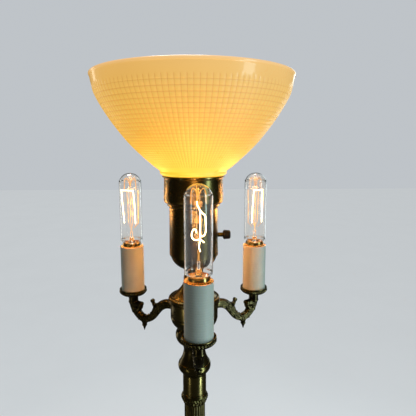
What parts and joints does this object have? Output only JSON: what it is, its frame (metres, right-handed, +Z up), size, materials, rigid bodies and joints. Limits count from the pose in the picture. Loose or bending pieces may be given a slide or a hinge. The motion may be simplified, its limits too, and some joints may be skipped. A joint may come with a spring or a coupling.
{
  "type": "torchiere floor lamp",
  "caption": "Candelabra torchiere floor lamp: open milk-glass bowl on a brass husk, scroll arms with candle lights round a hub, reeded column and weighted round base.",
  "frame": {"origin": "on the floor, under the middle of the round base and on the lamp's vertical axis", "axes": "+Z up along the column; one candle arm points close to -Y (2.4 degrees towards +X of it) and the main switch knob along +X"},
  "size_m": [0.28, 0.28, 1.5],
  "materials": {
    "antique_brass": "antique brass, darkened by age, with worn lighter edges under old lacquer",
    "cast_brass": "cast brass with a dark patina in the hollows and rubbed high spots",
    "plain_brass": "drawn bright brass, thin sheet",
    "zinc_steel": "zinc-plated steel, dull",
    "cast_iron": "rough sand-cast iron",
    "milk_glass": "pressed opal milk glass, warm when lit, fine pressed grid",
    "clear_glass": "clear blown glass",
    "frosted_glass": "inside-frosted bulb glass",
    "glowing_filament": "lit filament on a glass stem",
    "ivory_cover": "off-white pressed fibre candle cover, faint turned lines",
    "porcelain": "white glazed porcelain socket body",
    "black_phenolic": "black moulded phenolic, slightly worn",
    "felt": "dark green wool felt"
  },
  "bodies": {
    "lamp": {"felt_pad": "felt", "base_weight": "cast_iron", "base_cover": "antique_brass", "cord_bushing": "black_phenolic", "bottom_nut": "zinc_steel", "centre_pipe": "zinc_steel", "foot_vase": "antique_brass", "lower_reeded_tube": "antique_brass", "middle_knuckle": "antique_brass", "upper_reeded_tube": "antique_brass", "ring_collar": "antique_brass", "neck_tube": "antique_brass", "baluster": "antique_brass", "knop": "antique_brass", "hub_drum": "antique_brass", "hub_locknut": "zinc_steel", "hub_bell": "antique_brass", "husk_cap": "antique_brass", "husk_tube": "antique_brass", "shade_holder": "antique_brass", "mogul_socket": "porcelain", "mogul_shell": "plain_brass", "candle_switch_body": "black_phenolic", "front_arm": "cast_brass", "front_candle_cup": "cast_brass", "front_candle_socket": "black_phenolic", "front_candle_socket_shell": "plain_brass", "front_candle_cover": "ivory_cover", "right_arm": "cast_brass", "right_candle_cup": "cast_brass", "right_candle_socket": "black_phenolic", "right_candle_socket_shell": "plain_brass", "right_candle_cover": "ivory_cover", "left_arm": "cast_brass", "left_candle_cup": "cast_brass", "left_candle_socket": "black_phenolic", "left_candle_socket_shell": "plain_brass", "left_candle_cover": "ivory_cover"},
    "bowl": {"glass_bowl": "milk_glass"},
    "main_switch": {"main_switch_shaft": "antique_brass", "main_switch_knob": "black_phenolic"},
    "candle_switch": {"candle_switch_shaft": "antique_brass", "candle_switch_knob": "black_phenolic"},
    "main_bulb_lift": {"main_bulb_contact": "black_phenolic"},
    "main_bulb": {"main_bulb_glass": "frosted_glass", "main_bulb_base": "plain_brass", "main_bulb_filament": "glowing_filament"},
    "front_bulb_lift": {"front_bulb_contact": "black_phenolic"},
    "front_bulb": {"front_bulb_glass": "clear_glass", "front_bulb_base": "plain_brass", "front_bulb_filament": "glowing_filament"},
    "right_bulb_lift": {"right_bulb_contact": "black_phenolic"},
    "right_bulb": {"right_bulb_glass": "clear_glass", "right_bulb_base": "plain_brass", "right_bulb_filament": "glowing_filament"},
    "left_bulb_lift": {"left_bulb_contact": "black_phenolic"},
    "left_bulb": {"left_bulb_glass": "clear_glass", "left_bulb_base": "plain_brass", "left_bulb_filament": "glowing_filament"}
  },
  "joints": [
    {"name": "bowl_lift", "type": "slide", "parent": "lamp", "child": "bowl", "axis": [0, 0, 1], "range_m": [0, 0.16]},
    {"name": "main_switch_turn", "type": "hinge", "parent": "lamp", "child": "main_switch", "pos_m": [0.042, 0, 1.2958], "axis": [1, 0, 0], "continuous": true},
    {"name": "candle_switch_turn", "type": "hinge", "parent": "lamp", "child": "candle_switch", "pos_m": [0, 0.04, 1.186], "axis": [0, 1, 0], "continuous": true},
    {"name": "main_bulb_rise", "type": "slide", "parent": "lamp", "child": "main_bulb_lift", "axis": [0, 0, 1], "range_m": [0, 0.03513]},
    {"name": "main_bulb_turn", "type": "hinge", "parent": "main_bulb_lift", "child": "main_bulb", "pos_m": [0, 0, 1.33], "axis": [0, 0, 1], "range_deg": [0, 1980]},
    {"name": "front_bulb_rise", "type": "slide", "parent": "lamp", "child": "front_bulb_lift", "axis": [0, 0, 1], "range_m": [0, 0.01835]},
    {"name": "front_bulb_turn", "type": "hinge", "parent": "front_bulb_lift", "child": "front_bulb", "pos_m": [0.00437, -0.10431, 1.26], "axis": [0, 0, 1], "range_deg": [0, 1800]},
    {"name": "right_bulb_rise", "type": "slide", "parent": "lamp", "child": "right_bulb_lift", "axis": [0, 0, 1], "range_m": [0, 0.01835]},
    {"name": "right_bulb_turn", "type": "hinge", "parent": "right_bulb_lift", "child": "right_bulb", "pos_m": [0.09041, 0.0522, 1.26], "axis": [0, 0, 1], "range_deg": [0, 1800]},
    {"name": "left_bulb_rise", "type": "slide", "parent": "lamp", "child": "left_bulb_lift", "axis": [0, 0, 1], "range_m": [0, 0.01835]},
    {"name": "left_bulb_turn", "type": "hinge", "parent": "left_bulb_lift", "child": "left_bulb", "pos_m": [-0.09041, 0.0522, 1.26], "axis": [0, 0, 1], "range_deg": [0, 1800]}
  ],
  "couplings": [
    {"joint": "main_bulb_rise", "follows": "main_bulb_turn", "m_per_rad": 0.0010106},
    {"joint": "front_bulb_rise", "follows": "front_bulb_turn", "m_per_rad": 0.00057757},
    {"joint": "right_bulb_rise", "follows": "right_bulb_turn", "m_per_rad": 0.00057757},
    {"joint": "left_bulb_rise", "follows": "left_bulb_turn", "m_per_rad": 0.00057757}
  ]
}
